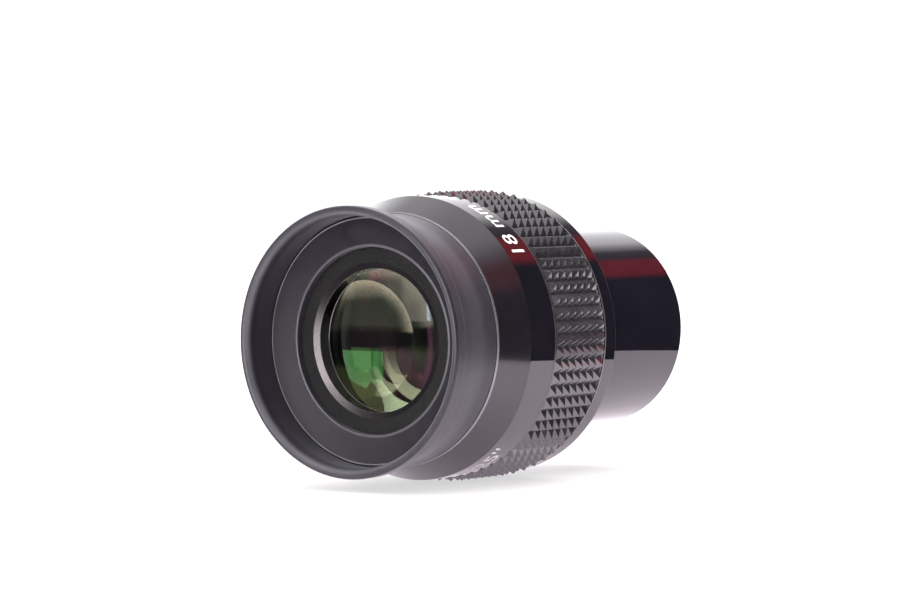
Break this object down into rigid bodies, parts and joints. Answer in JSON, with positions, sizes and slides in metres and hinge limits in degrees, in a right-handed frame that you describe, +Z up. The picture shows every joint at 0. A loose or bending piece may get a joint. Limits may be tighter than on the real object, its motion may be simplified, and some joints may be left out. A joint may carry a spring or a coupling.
{
  "type": "telescope eyepiece",
  "caption": "Flat-field telescope eyepiece for 1.25 inch focusers: fold-down rubber eyecup, coned and banded black body, knurled rubber grip, push-fit barrel with filter thread.",
  "frame": {"origin": "on the optical axis, in the plane of the shoulder that stops on the focuser", "axes": "+Y along the optical axis towards the telescope (the barrel), -Y towards the eye, +Z up as the eyepiece lies on its side"},
  "size_m": [0.0456, 0.0694, 0.0456],
  "materials": {
    "cup_rubber": "matt moulded rubber",
    "grip_rubber": "semi-matt moulded rubber, pyramid knurl",
    "anodised_housing": "black anodised, satin cone and polished bands",
    "anodised_barrel": "black anodised, polished",
    "blasted_ring": "bead-blasted black anodised, turned bright chamfer",
    "blackened_cell": "matt blackened",
    "coated_glass": "polished, green multicoating",
    "optical_glass": "polished",
    "screw_steel": "black oxide"
  },
  "bodies": {
    "eyepiece_body": {"eyecup": "cup_rubber", "grip_ring": "grip_rubber", "housing": "anodised_housing", "barrel": "anodised_barrel", "eye_retaining_ring": "blasted_ring", "lens_cell": "blackened_cell", "cell_retaining_ring": "blackened_cell", "lens_spacer_ring": "blackened_cell", "field_lens_cell": "blackened_cell", "field_stop_ring": "blackened_cell", "field_spacer_ring": "blackened_cell", "field_retaining_ring": "blackened_cell", "eye_lens": "coated_glass", "doublet_flint_lens": "optical_glass", "doublet_crown_lens": "optical_glass", "middle_lens": "optical_glass", "field_meniscus_lens": "optical_glass", "field_doublet_crown_lens": "optical_glass", "field_doublet_flint_lens": "coated_glass", "cell_lock_screws": "screw_steel"},
    "eyecup_rim": {"eyecup_lip": "cup_rubber"}
  },
  "joints": [
    {"name": "eyecup_fold", "type": "slide", "parent": "eyepiece_body", "child": "eyecup_rim", "axis": [0, 1, 0], "range_m": [0, 0.007], "deforming": ["eyecup_lip"]}
  ]
}
